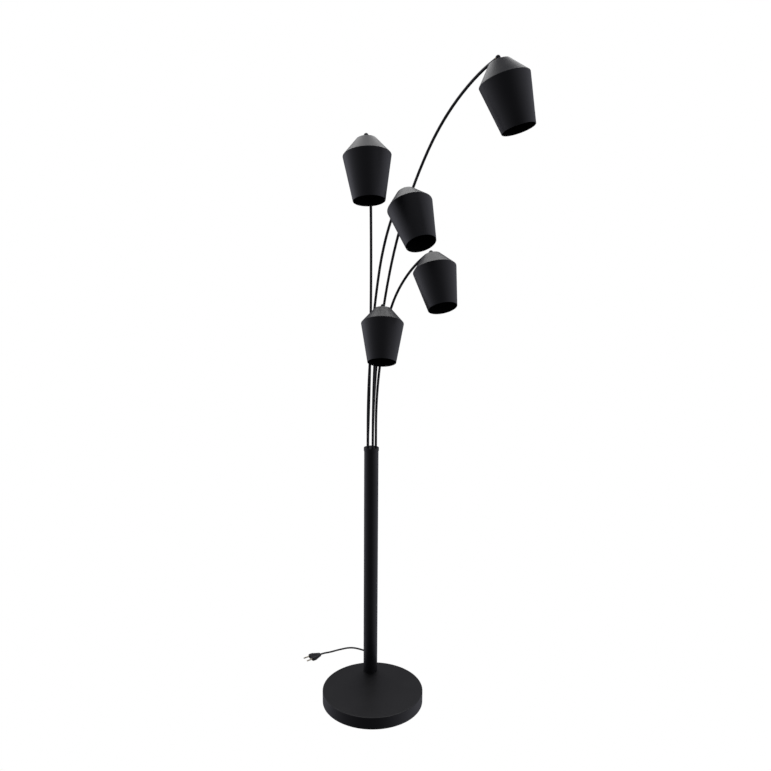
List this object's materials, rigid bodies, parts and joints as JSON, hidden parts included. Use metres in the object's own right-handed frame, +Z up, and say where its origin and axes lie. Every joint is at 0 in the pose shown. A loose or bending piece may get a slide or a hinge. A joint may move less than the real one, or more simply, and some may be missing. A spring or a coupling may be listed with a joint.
{
  "type": "floor lamp",
  "caption": "Tree floor lamp: round weighted base, upright pole near its rear rim, thin bent arms with conical black shades that turn about the arm ends.",
  "frame": {"origin": "centre of the base pad underside, on the floor", "axes": "+Z up the pole; the pole stands on +Y, near the rear rim, and the arms lean towards -Y; +X to the right seen from the front"},
  "size_m": [0.5002, 0.6877, 1.6517],
  "materials": {
    "black_coat": "fine matte black powder coat",
    "cast_iron": "rough cast, unpainted",
    "pad_rubber": "dense foam rubber sheet",
    "zinc_steel": "bright zinc plate",
    "black_steel": "black oxide",
    "tip_brass": "turned brass",
    "holder_plastic": "black moulded plastic",
    "black_plastic": "black moulded plastic",
    "button_plastic": "polished black plastic",
    "cord_jacket": "smooth black cord sheath",
    "plug_brass": "nickel-plated brass"
  },
  "bodies": {
    "stand": {"base_cover": "black_coat", "base_weight": "cast_iron", "base_pad": "pad_rubber", "base_bolt": "zinc_steel", "foot_plug": "zinc_steel", "pole": "black_coat", "collar": "black_coat", "collar_screws": "black_steel", "clamp_plate": "zinc_steel", "centre_screw": "black_steel", "switch_body": "black_plastic", "cord_gland": "black_plastic", "cord_lead": "cord_jacket", "cord_hank": "cord_jacket", "cord_run": "cord_jacket", "cord_tie": "black_plastic", "plug": "black_plastic", "plug_pins": "plug_brass", "arm_tube_1": "black_coat", "arm_ring_1": "zinc_steel", "arm_tip_1": "tip_brass", "arm_tube_2": "black_coat", "arm_ring_2": "zinc_steel", "arm_tip_2": "tip_brass", "arm_tube_3": "black_coat", "arm_ring_3": "zinc_steel", "arm_tip_3": "tip_brass", "arm_tube_4": "black_coat", "arm_ring_4": "zinc_steel", "arm_tip_4": "tip_brass", "arm_tube_5": "black_coat", "arm_ring_5": "zinc_steel", "arm_tip_5": "tip_brass"},
    "shade_1_body": {"knob_1": "black_coat", "knob_screw_1": "black_steel", "shade_1": "black_coat", "lock_nut_1": "zinc_steel", "lamp_holder_1": "holder_plastic"},
    "shade_2_body": {"knob_2": "black_coat", "knob_screw_2": "black_steel", "shade_2": "black_coat", "lock_nut_2": "zinc_steel", "lamp_holder_2": "holder_plastic"},
    "shade_3_body": {"knob_3": "black_coat", "knob_screw_3": "black_steel", "shade_3": "black_coat", "lock_nut_3": "zinc_steel", "lamp_holder_3": "holder_plastic"},
    "shade_4_body": {"knob_4": "black_coat", "knob_screw_4": "black_steel", "shade_4": "black_coat", "lock_nut_4": "zinc_steel", "lamp_holder_4": "holder_plastic"},
    "shade_5_body": {"knob_5": "black_coat", "knob_screw_5": "black_steel", "shade_5": "black_coat", "lock_nut_5": "zinc_steel", "lamp_holder_5": "holder_plastic"},
    "button": {"switch_button": "button_plastic"}
  },
  "joints": [
    {"name": "shade_1_turn", "type": "hinge", "parent": "stand", "child": "shade_1_body", "pos_m": [0.22666, -0.33332, 1.6464], "axis": [0.4276, -0.852, 0.302], "range_deg": [-45, 45]},
    {"name": "shade_2_turn", "type": "hinge", "parent": "stand", "child": "shade_2_body", "pos_m": [-0.03366, -0.17672, 1.50659], "axis": [-0.1477, -0.9412, 0.3039], "range_deg": [-45, 15]},
    {"name": "shade_3_turn", "type": "hinge", "parent": "stand", "child": "shade_3_body", "pos_m": [0.06264, -0.10514, 1.39318], "axis": [0.2861, -0.7673, 0.5739], "range_deg": [-15, 45]},
    {"name": "shade_4_turn", "type": "hinge", "parent": "stand", "child": "shade_4_body", "pos_m": [0.13823, -0.03335, 1.24476], "axis": [0.6208, -0.6418, 0.4503], "range_deg": [-45, 45]},
    {"name": "shade_5_turn", "type": "hinge", "parent": "stand", "child": "shade_5_body", "pos_m": [0.02199, 0.01303, 1.1067], "axis": [0.2286, -0.8745, 0.4277], "range_deg": [-45, 45]},
    {"name": "button_press", "type": "slide", "parent": "stand", "child": "button", "axis": [0, -1, 0], "range_m": [0, 0.0025], "stiffness_N_per_m": 600, "springref_m": -0.002}
  ]
}
